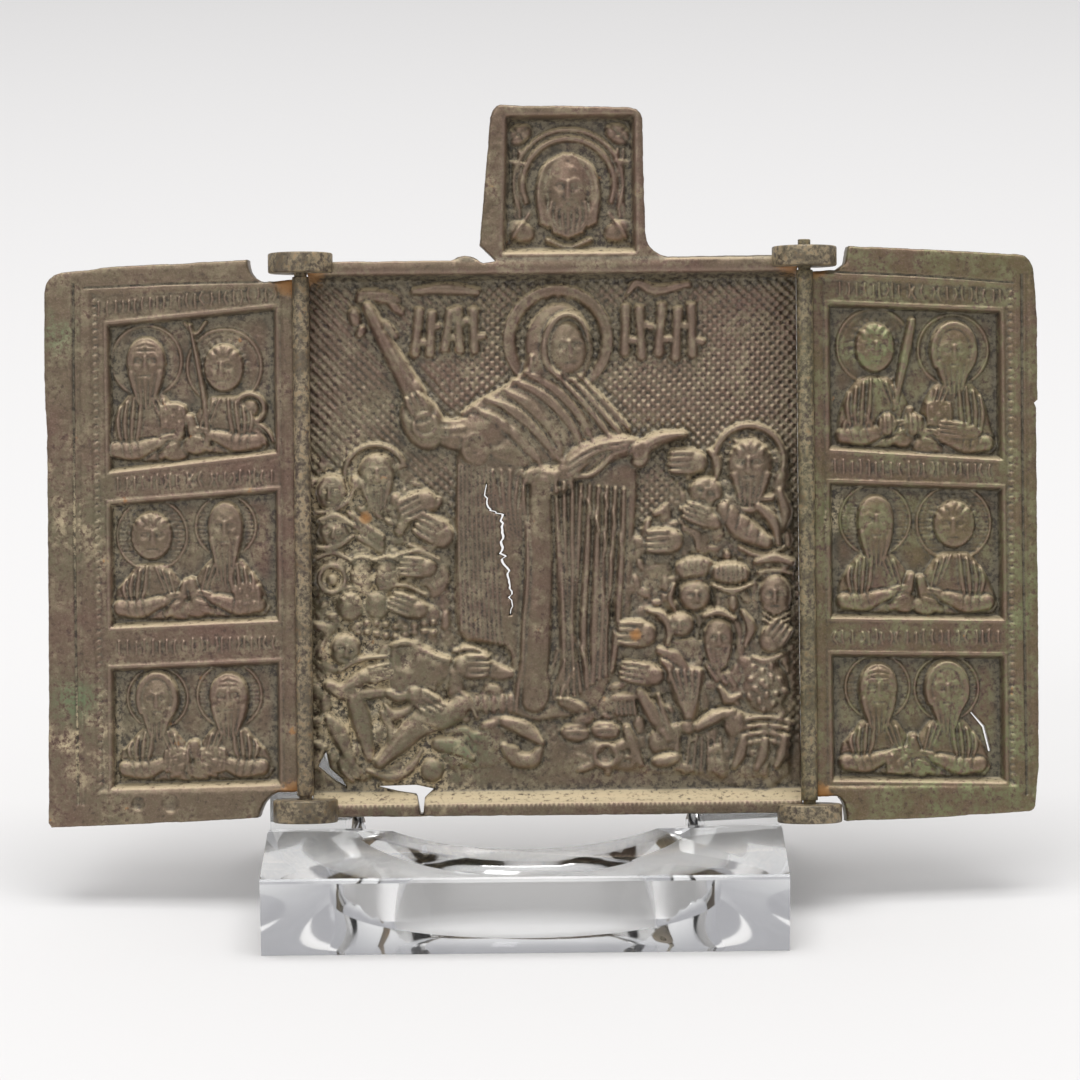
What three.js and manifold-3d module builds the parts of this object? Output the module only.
// A travelling triptych of cast copper alloy, open on a clear display easel.
// Millimetres, +Z up, the reliefs face -Y. The origin is at the middle of the bounding box's underside.
// Each casting is modelled lying flat: x to the right, y up the panel, z out of its face, with z = 0 in
// the plane of the two hinge axes. Groups then lean the panel back and fold the wings.

import * as THREE from "three";
import { mergeVertices } from "three/addons/utils/BufferGeometryUtils.js";
import Module from "manifold-3d";

const wasm = await Module();
wasm.setup();

const degree = Math.PI / 180;

// Driving dimensions
const leanBack = 14 * degree; // the panel on its easel
const wingFold = 5 * degree; // how far the open wings stand behind the panel's plane
const hingeX = 25.2; // each hinge axis, from the middle
const sunk = 0.25; // how far a raised form reaches into what carries it

const panel = {
  back: -3.15,
  field: -2.25,
  rim: -0.15,
  halfWidth: 24.5,
  top: 55.7,
  rimHeight: 1.5,
  ledge: 1.6, // height of the slope between the rim's front and the field
};
const wingDepth = { back: -2.55, ground: -1.45, band: -0.5, border: -0.15 };
const ear = { radius: 3.25, hole: 0.95 };
const rod = { radius: 0.85, pin: 0.635, gap: 0.35 };
const stand = {
  width: 51.4,
  middle: -3.3, // its middle, left of the panel's
  front: 14.6, // from the panel's foot to the front face
  rear: 20,
  frontHeight: 7.7,
  panelFoot: 9.3, // height of the panel's lower edge
  ledge: -1.3, // the ledge, measured up the panel
  lip: 0.8,
  rest: -3.65, // the back rest's front face, behind the hinge plane
  restTop: 17,
  restDepth: 3,
  heel: 2.4, // height of its rear edge
  chamfer: 0.4,
  recess: 18.6, // radius of the round recess in its rear
  recessMiddle: 12,
};

// Solids

function solidOf(geometry) {
  geometry.deleteAttribute("normal");
  geometry.deleteAttribute("uv");
  const merged = mergeVertices(geometry, 1e-4);
  const corner = merged.index.array;
  const faces = [];
  for (let i = 0; i < corner.length; i += 3) {
    const [a, b, c] = corner.subarray(i, i + 3);
    if (a !== b && b !== c && c !== a) faces.push(a, b, c);
  }
  return new wasm.Manifold(
    new wasm.Mesh({
      numProp: 3,
      vertProperties: merged.attributes.position.array,
      triVerts: new Uint32Array(faces),
    }),
  );
}

function joined(solids) {
  return solids.reduce((whole, solid) => whole.add(solid));
}

function shapeOf(outline, holes = []) {
  const shape = new THREE.Shape(outline.map(([x, y]) => new THREE.Vector2(x, y)));
  shape.holes = holes.map((hole) => new THREE.Path(hole.map(([x, y]) => new THREE.Vector2(x, y))));
  return shape;
}

// A flat form between two depths.
function slab(shape, low, high, curveSegments = 3) {
  const settings = { depth: high - low, bevelEnabled: false, curveSegments };
  return solidOf(new THREE.ExtrudeGeometry(shape, settings).translate(0, 0, low));
}

// A form with the same section (depth, height) all along x.
function bar(section, left, right) {
  const shape = shapeOf(section.map(([y, z]) => [-z, y]));
  const geometry = new THREE.ExtrudeGeometry(shape, { depth: right - left, bevelEnabled: false });
  return solidOf(geometry.rotateY(Math.PI / 2).translate(left, 0, 0));
}

// A closed skin over sections that turn counter-clockwise about the way they follow each other.
function loft(sections) {
  const sides = sections[0].length;
  const faces = [];
  for (let s = 0; s < sections.length - 1; s++) {
    for (let i = 0; i < sides; i++) {
      const a = s * sides + i;
      const b = s * sides + ((i + 1) % sides);
      faces.push(a, b, b + sides, a, b + sides, a + sides);
    }
  }
  const last = (sections.length - 1) * sides;
  for (let i = 1; i < sides - 1; i++) faces.push(0, i + 1, i, last, last + i, last + i + 1);
  const geometry = new THREE.BufferGeometry();
  geometry.setAttribute("position", new THREE.Float32BufferAttribute(sections.flat(2), 3));
  geometry.setIndex(faces);
  return solidOf(geometry);
}

// How a mound's outline draws in as it rises: radius, then height.
const mound = [[1, 0], [0.8, 0.7]];
const skull = [[1, 0], [0.92, 0.5], [0.6, 0.88]];

// A rounded mound on the ground, such as a head, a hand or a knee.
function dome(ground, x, y, rx, ry, rise, turn = 0, sides = 6, curve = mound) {
  const body = curve.map(([r, h]) => [r, h ? h * rise : -sunk]);
  const profile = [[0, -sunk], ...body, [0, rise]].map(([r, h]) => new THREE.Vector2(r, h));
  const geometry = new THREE.LatheGeometry(profile, sides);
  geometry.rotateX(Math.PI / 2).scale(rx, ry, 1).rotateZ(turn * degree).translate(x, y, ground);
  return solidOf(geometry);
}

// A ridge along a path, such as an arm, a leg or a staff. Its ends are tapered.
function limb(ground, path, width, rise, endWidth = width) {
  const section = [[1, -sunk], [0.55, rise], [-0.55, rise], [-1, -sunk]];
  const points = path.map(([x, y]) => new THREE.Vector2(x, y));
  const last = points.length - 1;
  const stations = points.map((point, i) => {
    const way = points[Math.min(i + 1, last)].clone().sub(points[Math.max(i - 1, 0)]).normalize();
    return { point, way, size: THREE.MathUtils.lerp(width, endWidth, i / last), height: 1 };
  });
  const tip = (station, side) => ({
    point: station.point.clone().addScaledVector(station.way, side * 0.6 * station.size),
    way: station.way,
    size: 0.5 * station.size,
    height: 0.4,
  });
  const all = [tip(stations[0], -1), ...stations, tip(stations[last], 1)];
  return loft(
    all.map(({ point, way, size, height }) =>
      section.map(([side, up]) => [
        point.x - (way.y * side * size) / 2,
        point.y + (way.x * side * size) / 2,
        ground + (up > 0 ? up * height : up),
      ]),
    ),
  );
}

// A fold, a finger or a nose: a crease shaped like a hipped roof.
function fold(ground, [x0, y0], [x1, y1], width, rise) {
  const way = new THREE.Vector2(x1 - x0, y1 - y0).normalize();
  const hip = 0.4 * width;
  return loft(
    [[x0, y0, hip], [x1, y1, -hip]].map(([x, y, inset]) => [
      [x - (way.y * width) / 2, y + (way.x * width) / 2, ground - sunk],
      [x + way.x * inset, y + way.y * inset, ground + rise],
      [x + (way.y * width) / 2, y - (way.x * width) / 2, ground - sunk],
    ]),
  );
}

function disc(ground, x, y, radius, rise, sides = 12) {
  const geometry = new THREE.CylinderGeometry(radius, radius, rise + sunk, sides);
  return solidOf(geometry.rotateX(Math.PI / 2).translate(x, y, ground + (rise - sunk) / 2));
}

function ring(ground, x, y, outer, inner, rise) {
  const shape = new THREE.Shape().absarc(x, y, outer, 0, 2 * Math.PI);
  shape.holes = [new THREE.Path().absarc(x, y, inner, 0, 2 * Math.PI)];
  return slab(shape, ground - sunk, ground + rise, 6);
}

// A shaft along the hinge axis, which runs along y.
function shaft(x, low, high, radius, sides = 12) {
  const geometry = new THREE.CylinderGeometry(radius, radius, high - low, sides);
  return solidOf(geometry.translate(x, (low + high) / 2, 0));
}

// Figures

// A head with hair or hood, a nose, and a beard below where it has one.
function head(ground, { x, y, rx, ry, rise, beard = 0, nose = false, curve = mound }) {
  const parts = [dome(ground, x, y, rx, ry, rise, 0, curve === skull ? 8 : 6, curve)];
  if (nose) {
    const reach = 0.3 * ry;
    parts.push(fold(ground + 0.8 * rise, [x, y + reach], [x, y - reach], 0.3 * rx, 0.35 * rise));
  }
  if (beard) parts.push(dome(ground, x, y - ry - 0.3 * beard, 0.78 * rx, beard, 0.8 * rise));
  return parts;
}

// A hand: one ridged form that narrows to the wrist behind it, its fingers pointing along the turn.
function hand(ground, x, y, length, width, rise, turn = 0) {
  const section = [[1, -sunk], [0.7, 0.9], [0.35, 0.62], [0, 1], [-0.35, 0.62], [-0.7, 0.9], [-1, -sunk]];
  const stations = [[-0.55, 0.6, 0.5], [0, 1, 1], [0.5, 0.8, 0.6]];
  const cos = Math.cos(turn * degree);
  const sin = Math.sin(turn * degree);
  return loft(
    stations.map(([along, spread, height]) =>
      section.map(([side, up]) => {
        const u = along * length;
        const v = (side * spread * width) / 2;
        return [x + u * cos - v * sin, y + u * sin + v * cos, ground + (up > 0 ? up * rise * height : up)];
      }),
    ),
  );
}

// A saint in half length: halo, head, shoulders, the sleeve that crosses the breast, hand and book.
function saint(floor, { x, y, halo, rx = 1.9, ry = 2.3, beard = 0, reach = 1, book = 0 }) {
  const ground = wingDepth.ground;
  const shoulder = y - ry - 1.6;
  const half = (shoulder - floor) / 2;
  const parts = [
    disc(ground, x, y, halo, 0.28, 8),
    ...head(ground, { x, y, rx, ry, rise: 0.9, beard }),
    dome(ground, x, floor + half, 3.7, half + 1.3, 0.55),
    fold(ground + 0.3, [x - 2.7 * reach, shoulder - 0.3], [x - 2.2 * reach, floor + 0.9], 1.5, 0.5),
    fold(ground + 0.3, [x - 1.7 * reach, floor + 1.4], [x + 1.5 * reach, floor + 2.3], 1.4, 0.55),
    dome(ground + 0.3, x + 1.7 * reach, floor + 2.5, 0.9, 0.8, 0.5),
  ];
  if (book) {
    const middle = x + reach * book;
    const [left, right] = [middle - 1.1, middle + 1.1];
    const [low, high] = [floor + 1.2, floor + 3.8];
    const cover = shapeOf([[left, low], [right, low], [right, high], [left, high]]);
    parts.push(slab(cover, ground, ground + 0.75));
  }
  return parts;
}

// The Mother of God in the middle of the field, her staff in one hand, the other held out.
function standingFigure() {
  const g = panel.field;
  const robe = shapeOf([
    [-2.6, 44.8], [-8.6, 40.6], [-10.2, 38.8], [-9.8, 35.4], [-10.1, 27], [-9.6, 18.4],
    [-6.6, 16.6], [-4.3, 15.4], [-4, 10], [-0.5, 9.6], [3.4, 10.4], [5.2, 13],
    [7.3, 17.5], [7.9, 27], [8.3, 34.2], [7.4, 38], [2.6, 43.8], [0.5, 44.4],
  ]);
  const parts = [
    ring(g, 0.5, 47.7, 5.5, 4.7, 0.55),
    dome(g, 0.7, 47, 3.4, 4.4, 1.25, 0, 12, skull),
    ...head(g + 0.5, { x: 1.3, y: 47, rx: 2, ry: 2.6, rise: 1.15, nose: true, curve: skull }),
    dome(g, -2, 45.2, 1, 2.2, 1, -20),
    slab(robe, g - sunk, g + 0.6),
    limb(g + 0.3, [[-1.9, 24.5], [-2.1, 17], [-2.2, 11]], 3, 1.2, 2.4), // the leg under the robe
    limb(g + 0.3, [[-3.6, 34.8], [-3, 24], [-3.7, 15.5]], 0.7, 0.8), // the mantle's hem
    limb(g + 0.2, [[-6.8, 38.8], [-9.8, 38.4], [-11.8, 39.4]], 3.4, 1.3, 2.6), // the raised sleeve
    limb(g + 0.2, [[-8.3, 38], [-7.6, 36]], 2.6, 1),
    hand(g, -13.3, 40, 3.7, 3.4, 1.6, 100),
    limb(g, [[-14.2, 42.4], [-16.6, 47.2], [-19.2, 52]], 0.95, 0.85), // the staff and its flower
    dome(g, -17.6, 52.1, 2, 0.75, 0.8, -8),
    dome(g, -19.8, 50.1, 0.75, 1, 0.7),
    dome(g, -16, 48.4, 1.3, 0.6, 0.7, -25),
    limb(g + 0.2, [[1.5, 34.8], [4.6, 36.6], [8.2, 36.7]], 3, 1.3, 1.5), // the sleeve held out
    limb(g, [[8.6, 36.3], [10.3, 37.4], [12.7, 38.3]], 1.9, 1.6, 0.9),
    dome(g + 0.3, -0.4, 33.6, 2.7, 1.25, 1, -12), // the hand that gathers the mantle
    limb(g, [[-4.6, 9.3], [-2, 7.3]], 1.7, 1.1), // the feet
    limb(g, [[-4.4, 6.3], [-3, 5.8]], 1.3, 0.9),
    dome(g, 1.8, 10.7, 1.8, 0.9, 1.1),
  ];
  for (let i = 0; i < 6; i++) {
    const x = 0.5 + 1.25 * i; // the straight folds of the skirt
    parts.push(fold(g + 0.6, [x, 33 - 0.15 * i], [0.82 * x + 0.2, 11.4 + 0.55 * i], 1, 0.55));
  }
  for (let i = 0; i < 4; i++) {
    const x = -9.2 + 0.95 * i; // the hanging mantle
    parts.push(fold(g + 0.6, [x, 34.4 - 0.3 * i], [x + 0.1, 19 - 0.5 * i], 0.8, 0.4));
  }
  for (let i = 0; i < 5; i++) {
    const start = [-7.8 + 1.7 * i, 40.4 + 0.75 * i]; // folds across the breast
    parts.push(fold(g + 0.6, start, [start[0] + 5.6 - 0.2 * i, start[1] - 4.6 - 0.1 * i], 1.2, 0.6));
  }
  for (let i = 0; i < 3; i++) {
    parts.push(fold(g + 0.6, [0.3 + 1.1 * i, 40.2 + 1.4 * i], [5.4 + 0.9 * i, 37.4 + 0.3 * i], 0.9, 0.6));
  }
  return parts;
}

// The people on the left, from the haloed one down to those who kneel, on the mass of their bodies.
function leftCrowd() {
  const g = panel.field;
  const mass = shapeOf([
    [-24.2, 4.6], [-24.2, 34], [-21.6, 34.6], [-19.6, 36.9], [-16.6, 36.6], [-12.2, 32.6], [-10.5, 28.4],
    [-10.3, 18.2], [-6.8, 16.6], [-4.3, 15], [-4.2, 5.4], [-12, 4.2], [-20.6, 3.9],
  ]);
  return [
    slab(mass, g - sunk, g + 0.35),
    disc(g, -18, 34.4, 3.3, 0.6),
    ...head(g, { x: -18.2, y: 34.5, rx: 1.9, ry: 2.1, rise: 1.4, beard: 1.6 }),
    ...head(g, { x: -22.5, y: 32.5, rx: 1.7, ry: 2, rise: 1.3 }),
    ...head(g, { x: -22.3, y: 28.6, rx: 1.7, ry: 1.5, rise: 1.1 }),
    hand(g, -13.9, 31.2, 3.8, 3, 1.3, -150),
    hand(g, -12.1, 28.4, 3.5, 2.7, 1.3, 150),
    limb(g, [[-24, 30.6], [-21.6, 31.1], [-19.8, 33]], 0.8, 0.8),
    fold(g, [-24, 26.7], [-21.8, 26.4], 1.5, 0.9),
    fold(g, [-19.8, 25.4], [-19.6, 23.6], 2.2, 1.1), // two sleeves side by side
    fold(g, [-17.2, 25.4], [-17.3, 23.7], 2, 1.1),
    hand(g, -13.6, 25.1, 3.6, 2.2, 1.4, 175),
    disc(g, -22.4, 23.7, 1.6, 0.7, 10),
    dome(g, -22.4, 23.7, 0.9, 0.9, 1.1),
    ...head(g, { x: -20.6, y: 21.2, rx: 1.4, ry: 1.6, rise: 1.2 }),
    hand(g, -14.7, 21.3, 3.8, 2.4, 1.4, 165),
    fold(g, [-19, 21.4], [-16.8, 21.2], 1.5, 0.9),
    limb(g, [[-20.2, 18.9], [-16.2, 18.6], [-12.2, 19.2]], 1.5, 0.8),
    ...head(g, { x: -21.3, y: 16.7, rx: 1.5, ry: 1.6, rise: 1.3 }),
    fold(g, [-22, 13.1], [-20, 13.9], 1.9, 1.1),
    hand(g, -18.7, 14.9, 3.6, 2, 1.3, 15),
    dome(g, -15.7, 16.2, 1.6, 1.9, 1.3), // a kneeling man, bent forward
    limb(g, [[-15.6, 17.4], [-13.4, 16.9], [-11.4, 15.6]], 1.2, 1.1),
    fold(g, [-16.4, 14.6], [-16.3, 13.1], 1.1, 0.9),
    hand(g, -13.2, 11.9, 4.4, 2.6, 1.5, -32),
    hand(g, -8.5, 15, 3.3, 2.7, 1.4, 0),
    limb(g, [[-9.2, 12.3], [-12.6, 9.6], [-18, 5.7]], 2.2, 1.5, 1.4), // the bent leg
    fold(g, [-9.6, 11.4], [-10.6, 8.8], 1.8, 1.2),
    limb(g, [[-20.4, 11.2], [-19.4, 8.4], [-18.9, 5.8]], 1.7, 1.1),
    limb(g, [[-17.8, 11.4], [-15.2, 10.8], [-16.8, 8]], 1.3, 0.9),
    limb(g, [[-22.5, 9.6], [-22, 6.7], [-20.9, 4.4]], 1.6, 1, 1.2),
    limb(g, [[-18.6, 4.3], [-15.8, 4.1], [-13.8, 6.2]], 1.2, 0.9),
    fold(g, [-13.2, 6.2], [-12.6, 3.9], 1.4, 1),
    fold(g, [-11.3, 6.9], [-9.3, 6], 1.6, 1),
    fold(g, [-8, 11.2], [-4.9, 11], 1.6, 0.8),
    fold(g, [-7.8, 8], [-6.4, 7.2], 1.9, 0.7),
  ];
}

// The people on the right, on the mass of their bodies.
function rightCrowd() {
  const g = panel.field;
  const mass = shapeOf([
    [1, 5], [4.8, 4.4], [14, 3.6], [23.4, 3.8], [23.8, 36], [21.8, 38.2], [18.6, 38.6], [16, 36.6],
    [12.2, 36.8], [12.4, 33.8], [9.6, 29], [7.5, 28], [6.9, 17.9], [4.7, 13.2], [2.9, 10.6],
  ]);
  return [
    slab(mass, g - sunk, g + 0.35),
    disc(g, 19.6, 35.4, 3.9, 0.6),
    ...head(g, { x: 19.8, y: 35.3, rx: 2.2, ry: 2.5, rise: 1.5, beard: 1.7 }),
    hand(g, 13.4, 35.3, 3.6, 3, 1.4, 180),
    ...head(g, { x: 15.2, y: 32.3, rx: 1.8, ry: 1.6, rise: 1.3 }),
    hand(g, 15.1, 29.5, 4, 2.4, 1.3, 158),
    limb(g, [[18, 30.2], [19.6, 28.2], [21.4, 27.2]], 2.6, 1.3, 2), // the haloed one's sleeve
    fold(g, [22.8, 31], [23.2, 28.4], 1.4, 0.9),
    hand(g, 11, 27.4, 3.4, 2.8, 1.3, 180),
    dome(g, 14, 24.7, 1.9, 1.2, 1.2), // hats
    dome(g, 17.6, 24.1, 2.1, 1.1, 1.2),
    limb(g, [[16.2, 22.8], [17.8, 22.2], [19.4, 22.7]], 0.8, 0.9),
    dome(g, 22, 25, 1.8, 0.9, 1),
    ...head(g, { x: 14, y: 22, rx: 1.5, ry: 1.5, rise: 1.1 }),
    dome(g, 17.8, 21.1, 0.7, 1.2, 1),
    ...head(g, { x: 22.1, y: 22, rx: 1.7, ry: 2, rise: 1.3 }),
    ...head(g, { x: 12.5, y: 19, rx: 1.3, ry: 1.2, rise: 1 }),
    ...head(g, { x: 16.1, y: 17.8, rx: 1.5, ry: 2, rise: 1.2, beard: 1.3 }),
    hand(g, 8, 18, 3.8, 3, 1.3, 175),
    fold(g, [10.2, 17], [11.6, 15.6], 1.6, 0.9),
    hand(g, 8.5, 14.1, 4.2, 2.4, 1.4, 172),
    hand(g, 22, 17.8, 3, 2.8, 1.2, 55),
    dome(g, 21, 12.6, 2.5, 2.8, 1.1), // the one who stands at the edge
    fold(g, [19.4, 8.6], [22.9, 8.5], 1.7, 0.9),
    fold(g, [18.8, 6.8], [18.3, 4.8], 1.7, 1),
    fold(g, [21.6, 7], [21.4, 4.6], 1.7, 1),
    limb(g, [[10.6, 14.4], [12, 11.6], [13, 9.2]], 1.1, 1), // hanging cloth
    limb(g, [[12.2, 14.3], [12.8, 11.6], [13.1, 9.2]], 1.1, 1.1),
    limb(g, [[13.8, 14.2], [13.7, 11.6], [13.3, 9.2]], 1.1, 1),
    fold(g, [8.4, 12], [11.4, 7.2], 1.8, 1.2),
    fold(g, [14.6, 8.9], [17.2, 10.2], 1.6, 1.1),
    dome(g, 17.6, 9, 1.1, 1.4, 1.2),
    fold(g, [16.8, 7], [16.6, 4.6], 1.4, 0.9),
    dome(g, 10.3, 7.1, 1.3, 1.5, 1.1),
    dome(g, 11.1, 5.4, 1.7, 0.8, 1.3, 12),
    fold(g, [1, 8.2], [3, 8], 1.6, 1),
    fold(g, [4.2, 8.4], [5.8, 8.1], 1.5, 1),
    dome(g, 4.9, 6, 1.5, 1, 0.9),
    fold(g, [7.2, 8], [8.2, 5.2], 1.3, 0.8),
    dome(g, 6.6, 11.2, 1.2, 1.1, 0.9),
    fold(g, [13.6, 6.8], [13.4, 4.2], 1, 0.8),
  ];
}

// Castings

// Both rims, each with its sloping ledge. The lower one is broken through at its left.
function rims() {
  const { back, field, rim, halfWidth, top, rimHeight, ledge } = panel;
  const lowerLedge = rimHeight + ledge;
  const upperRim = top - rimHeight;
  const upperLedge = upperRim - 0.5 * ledge;
  const lower = [[0, back], [lowerLedge, back], [lowerLedge, field], [rimHeight, rim], [0, rim]];
  const upper = [[top, back], [top, rim], [upperRim, rim], [upperLedge, field], [upperLedge, back]];
  return [lower, upper].map((section) => bar(section, -halfWidth, halfWidth));
}

// The plate's outline, with the headpiece and the broken lump at its left foot.
function centreOutline() {
  const { halfWidth, top } = panel;
  const outline = new THREE.Shape();
  outline.moveTo(-halfWidth, 0);
  outline.lineTo(halfWidth, 0);
  outline.lineTo(halfWidth, top + 0.3);
  outline.lineTo(11.6, top + 0.2);
  outline.quadraticCurveTo(9.5, top + 0.6, 9.4, 58.3);
  outline.lineTo(9.2, 69.8);
  outline.quadraticCurveTo(9.1, 70.8, 8, 70.9);
  outline.lineTo(-5, 71.3);
  outline.quadraticCurveTo(-5.9, 71.2, -6.1, 70);
  outline.lineTo(-7.3, 57.2);
  outline.lineTo(-5.7, top - 0.1);
  outline.lineTo(-7, top - 0.3);
  outline.quadraticCurveTo(-8.4, top + 1.1, -10.2, top);
  outline.lineTo(-halfWidth, top);
  return outline;
}

// The headpiece: its raised border, the bearded face with its rings and the knotted cloth behind.
function headpiece() {
  const g = panel.field;
  const border = shapeOf(
    [[-7.3, 57.2], [-5.7, 55.6], [9.4, 55.6], [9.2, 70], [8.2, 70.85], [-5, 71.2], [-6, 70.2]],
    [[[-4.9, 57], [8.3, 57], [8.3, 69.9], [-4.4, 70.2]]],
  );
  return [
    slab(border, g - sunk, panel.rim - 0.25),
    disc(g, 1.7, 63.6, 5.6, 0.3),
    disc(g, 1.7, 63.6, 4.5, 0.55),
    ...head(g, { x: 1.6, y: 63, rx: 2.6, ry: 3.4, rise: 1.5, nose: true, curve: skull }),
    dome(g, 1.6, 59.6, 1.9, 2.1, 1.2),
    limb(g, [[-0.9, 65.6], [-1.6, 61], [-1.2, 58.4]], 1.3, 1),
    limb(g, [[4.2, 65.4], [4.7, 61], [4.2, 58.6]], 1.3, 1),
    dome(g, -3.2, 68.3, 1.4, 1, 1, 25),
    dome(g, 7, 68.2, 1.4, 1, 1, -25),
    limb(g, [[-3.6, 66.8], [-3.6, 60.6]], 1.4, 0.5),
    limb(g, [[6.9, 66.8], [6.9, 60.6]], 1.4, 0.5),
    dome(g, -3.3, 58.3, 1.5, 1.2, 0.8),
    dome(g, 6.6, 58.3, 1.6, 1.2, 0.8),
  ];
}

function hingeEar(x, low, high) {
  const back = Math.asin(-panel.back / ear.radius);
  const plan = new THREE.Shape().absarc(0, 0, ear.radius, Math.PI - back, 2 * Math.PI + back);
  const settings = { depth: high - low, bevelEnabled: false, curveSegments: 7 };
  const geometry = new THREE.ExtrudeGeometry(plan, settings);
  return solidOf(geometry.rotateX(-Math.PI / 2).translate(x, low, 0));
}

// What time took away: the long crack through the robe and the holes above the lower rim.
function losses() {
  const crackWidth = 0.3;
  const crack = [
    [-7, 33.3], [-6.7, 30.8], [-5.5, 30.2], [-5.4, 26.5], [-5, 24.8], [-4.5, 22.4], [-4.4, 20.1],
  ];
  const crackSide = crack.map(([x, y]) => [x + crackWidth, y + 0.6 * crackWidth]).reverse();
  const cuts = [
    [...crack, ...crackSide],
    [[-24.1, 5.1], [-22.4, 3.7], [-21.2, 3], [-21.6, 3.7], [-22.9, 4.9], [-23.2, 6.6]],
    [
      [-18, 3], [-16, 2.5], [-14.1, 2.2], [-13.8, -0.4],
      [-13.4, -0.4], [-13.3, 1.9], [-12.4, 2.7], [-14.2, 3.1],
    ],
  ];
  return cuts.map((outline) => slab(shapeOf(outline), panel.back - 1, 1));
}

function centrePanel(ears) {
  const casting = joined([
    slab(centreOutline(), panel.back, panel.field),
    ...rims(),
    ...headpiece(),
    ...ears.map(({ x, low, high }) => hingeEar(x, low, high)),
    ...standingFigure(),
    ...leftCrowd(),
    ...rightCrowd(),
  ]);
  const holes = ears.map(({ x, low, high }) => shaft(x, low - 1, high + 1, ear.hole));
  return casting.subtract(joined([...holes, ...losses()]));
}

// A wing: its plate, the raised border, the bands between the three compartments, and its hinge rod.
function wing({ outline, window, compartments, saints, extra, rodEnds, pinEnds }) {
  const { back, ground, band, border } = wingDepth;
  return joined([
    slab(outline, back, ground),
    slab(Object.assign(outline.clone(), { holes: [shapeOf(window)] }), ground - sunk, border),
    slab(shapeOf(window, compartments), ground - sunk, band),
    ...saints,
    ...extra,
    shaft(0, rodEnds[0], rodEnds[1], rod.radius),
    shaft(0, pinEnds[0], pinEnds[1], rod.pin, 10),
  ]);
}

const ears = {
  leftTop: { x: -hingeX, low: 54.5, high: 56.5 },
  leftFoot: { x: -hingeX, low: -0.4, high: 1.9 },
  rightTop: { x: hingeX, low: 54.7, high: 56.7 },
  rightFoot: { x: hingeX, low: -0.9, high: 0.95 },
};

function leftWing() {
  const outline = new THREE.Shape();
  outline.moveTo(-0.6, 2.6);
  outline.lineTo(-0.6, 54);
  outline.lineTo(-3.7, 53.8);
  outline.quadraticCurveTo(-5.3, 54, -5.4, 56);
  outline.lineTo(-19.8, 55.5);
  outline.lineTo(-24.4, 55);
  outline.quadraticCurveTo(-26, 54.7, -26.1, 53);
  outline.lineTo(-26.2, 45);
  outline.lineTo(-26, 36);
  outline.lineTo(-26, 20);
  outline.lineTo(-26.2, -0.4);
  outline.lineTo(-25.9, -0.9);
  outline.lineTo(-12.8, -0.4);
  outline.lineTo(-4.8, 0);
  outline.quadraticCurveTo(-4.2, 2.3, -2.8, 2.5);
  const g = wingDepth.ground;
  return wing({
    outline,
    window: [[-21, 2.8], [-2, 3.1], [-2, 53.3], [-21.3, 52.9]],
    compartments: [
      [[-19.6, 34.9], [-2.7, 36.7], [-2.7, 51.1], [-19.7, 49.6]],
      [[-19.6, 19.3], [-2.7, 19.9], [-2.7, 32.8], [-19.6, 31.6]],
      [[-19.6, 3.1], [-2.7, 3.5], [-2.7, 15.6], [-19.6, 15]],
    ],
    saints: [
      ...saint(35.6, { x: -15.9, y: 46, halo: 3.6, beard: 2, reach: 1, book: 2.6 }),
      ...saint(36.3, { x: -8, y: 46, halo: 3.8, rx: 2.3, ry: 2.6, reach: -1 }),
      ...saint(19.5, { x: -15.5, y: 28.7, halo: 3.6, rx: 2.4, ry: 2.6 }),
      ...saint(19.7, { x: -8, y: 29.4, halo: 3.1, rx: 1.8, ry: 2.4, beard: 2.7, reach: -1, book: -2 }),
      ...saint(3.3, { x: -15.2, y: 12.2, halo: 3, ry: 2.2, beard: 1.7, book: 1.8 }),
      ...saint(3.4, { x: -7.7, y: 12.3, halo: 3.3, ry: 2.3, beard: 1.6, reach: 1, book: 1.8 }),
    ],
    extra: [
      limb(g, [[-10.2, 49.6], [-10.3, 38]], 0.7, 0.75, 1), // the staff between the first two
      disc(g, -5.4, 41.2, 1.6, 0.6),
      dome(g, -5.5, 38.4, 2.1, 2, 0.7),
    ],
    rodEnds: [ears.leftFoot.high + rod.gap, ears.leftTop.low - rod.gap],
    pinEnds: [ears.leftFoot.low + 0.1, ears.leftTop.high - 0.1],
  });
}

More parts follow.
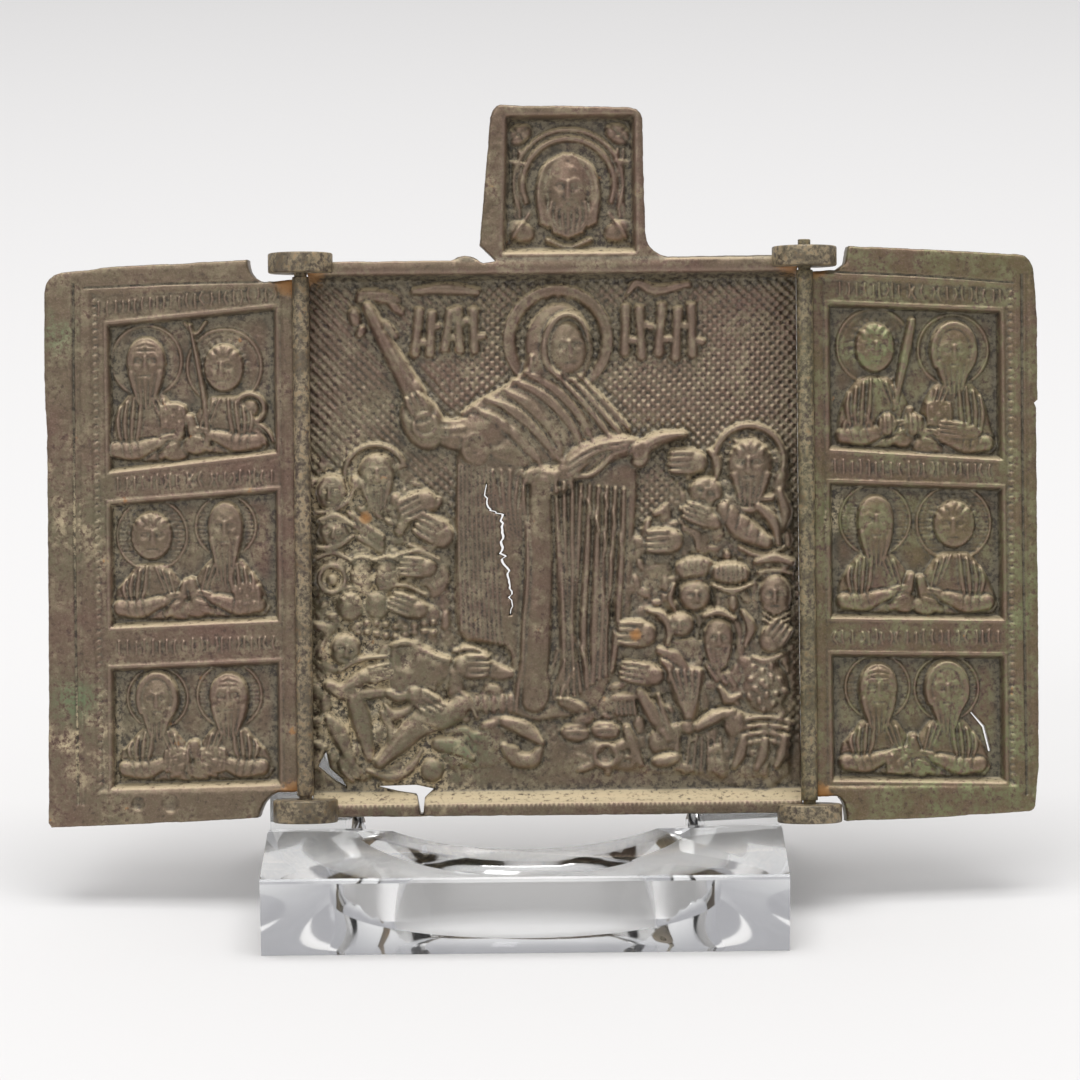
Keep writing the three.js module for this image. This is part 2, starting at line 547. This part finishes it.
function rightWing() {
  const outline = new THREE.Shape();
  outline.moveTo(0.6, 1.6);
  outline.lineTo(2.8, 1.6);
  outline.quadraticCurveTo(3.7, 1.4, 3.8, -0.9);
  outline.lineTo(12.6, -0.7);
  outline.lineTo(22.3, -0.2);
  outline.quadraticCurveTo(22.9, -0.1, 23, 0.4);
  outline.lineTo(23.4, 4.4);
  outline.lineTo(23.5, 20);
  outline.lineTo(23.5, 40.5);
  outline.lineTo(23.3, 40.9);
  outline.lineTo(23.65, 41.2);
  outline.lineTo(23.7, 49.2);
  outline.lineTo(23.4, 54);
  outline.quadraticCurveTo(23.2, 55.8, 21.8, 55.9);
  outline.lineTo(14.8, 56.3);
  outline.lineTo(4.5, 56.8);
  outline.lineTo(4.1, 55);
  outline.lineTo(3.2, 54.4);
  outline.lineTo(0.6, 54.3);
  const g = wingDepth.ground;
  const slit = [[16.7, 9.8], [17.9, 8.3], [18.5, 5.8], [18.75, 5.9], [18.15, 8.4], [16.8, 9.9]];
  const casting = wing({
    outline,
    window: [[1.7, 2.6], [21, 2.5], [21.2, 52.6], [1.7, 53.7]],
    compartments: [
      [[2.5, 36.5], [19.9, 35.3], [19.9, 50.1], [2.5, 50.9]],
      [[2.5, 19.6], [19.9, 19.2], [19.9, 32.3], [2.5, 33]],
      [[2.5, 3.3], [19.9, 2.9], [19.9, 15.4], [2.5, 15.8]],
    ],
    saints: [
      ...saint(36.3, { x: 6.9, y: 46.8, halo: 3.9, rx: 2.6, ry: 2.8, reach: 1 }),
      ...saint(35.8, { x: 15.2, y: 46.7, halo: 3.8, rx: 2.3, ry: 2.8, beard: 1.8, reach: -1, book: 2 }),
      ...saint(19.6, { x: 7, y: 29.8, halo: 3.6, rx: 2.3, ry: 2.5, beard: 1.8, reach: 1 }),
      ...saint(19.4, { x: 15.1, y: 29, halo: 3.8, rx: 2.5, ry: 2.6, reach: 1 }),
      ...saint(3.4, { x: 7.1, y: 12.5, halo: 3.3, rx: 2.2, ry: 2.4, beard: 1.8, reach: 1, book: 2.2 }),
      ...saint(3.1, { x: 14.2, y: 12.4, halo: 3.3, rx: 2.1, ry: 2.3, beard: 1.8, reach: -1 }),
    ],
    extra: [
      limb(g, [[10.8, 49], [9.9, 44.5], [9, 40.4]], 0.8, 0.75), // the staff between the first two
      dome(g, 5.4, 38.4, 1.5, 1.5, 0.9),
    ],
    rodEnds: [ears.rightFoot.high + rod.gap, ears.rightTop.low - rod.gap],
    pinEnds: [ears.rightFoot.low + 0.1, ears.rightTop.high + 0.7],
  });
  return casting.subtract(slab(shapeOf(slit), wingDepth.back - 1, 1));
}

// Easel

// A wedge with a ledge and a leaning rest. A round recess is cut through it from the rear.
function displayStand() {
  const upright = (depth, height) => [
    -depth * Math.cos(leanBack) + height * Math.sin(leanBack),
    stand.panelFoot + depth * Math.sin(leanBack) + height * Math.cos(leanBack),
  ];
  const side = [
    [-stand.front, 0],
    [stand.rear, 0],
    [stand.rear, stand.heel],
    upright(stand.rest - stand.restDepth, stand.restTop - stand.chamfer),
    upright(stand.rest - stand.restDepth + stand.chamfer, stand.restTop),
    upright(stand.rest, stand.restTop),
    upright(stand.rest, stand.ledge),
    upright(stand.lip, stand.ledge),
    [-stand.front + stand.chamfer, stand.frontHeight],
    [-stand.front, stand.frontHeight - stand.chamfer],
  ];
  const wedge = bar(side, stand.middle - stand.width / 2, stand.middle + stand.width / 2);
  const through = 3 * stand.restTop;
  const recess = new THREE.CylinderGeometry(stand.recess, stand.recess, through, 40);
  recess.rotateX(Math.PI / 2).translate(stand.middle, stand.recessMiddle, 0);
  return wedge.subtract(solidOf(recess));
}

// Assembly

function meshOf(solid, name, material) {
  const { vertProperties, triVerts } = solid.getMesh();
  const geometry = new THREE.BufferGeometry();
  geometry.setAttribute("position", new THREE.BufferAttribute(vertProperties, 3));
  geometry.setIndex(new THREE.BufferAttribute(triVerts, 1));
  const mesh = new THREE.Mesh(geometry, material);
  mesh.name = name;
  return mesh;
}

function metal(color) {
  return new THREE.MeshStandardMaterial({ color, roughness: 0.5, metalness: 0.85 });
}

const brown = metal(0x6e5547);
const greenBrown = metal(0x6b6446);
const clear = { color: 0xe8ecee, roughness: 0.05, transparent: true, opacity: 0.3 };
const acrylic = new THREE.MeshStandardMaterial(clear);

// The face's frame turned upright and leant back.
const leaning = new THREE.Group();
leaning.rotation.x = Math.PI / 2 - leanBack;
leaning.position.z = stand.panelFoot;
leaning.add(meshOf(centrePanel(Object.values(ears)), "center_panel", brown));

for (const { solid, name, material, side } of [
  { solid: leftWing(), name: "left_wing", material: brown, side: -1 },
  { solid: rightWing(), name: "right_wing", material: greenBrown, side: 1 },
]) {
  const hinge = new THREE.Group();
  hinge.position.x = side * hingeX;
  hinge.rotation.y = side * wingFold;
  hinge.add(meshOf(solid, name, material));
  leaning.add(hinge);
}

const easel = new THREE.Group();
easel.add(meshOf(displayStand(), "display_stand", acrylic));

const triptych = new THREE.Group();
triptych.add(leaning, easel);
const box = new THREE.Box3().setFromObject(triptych, true);
const middle = box.getCenter(new THREE.Vector3());
leaning.position.x -= middle.x;
leaning.position.y -= middle.y;
easel.position.set(-middle.x, -middle.y, 0);

export default triptych;
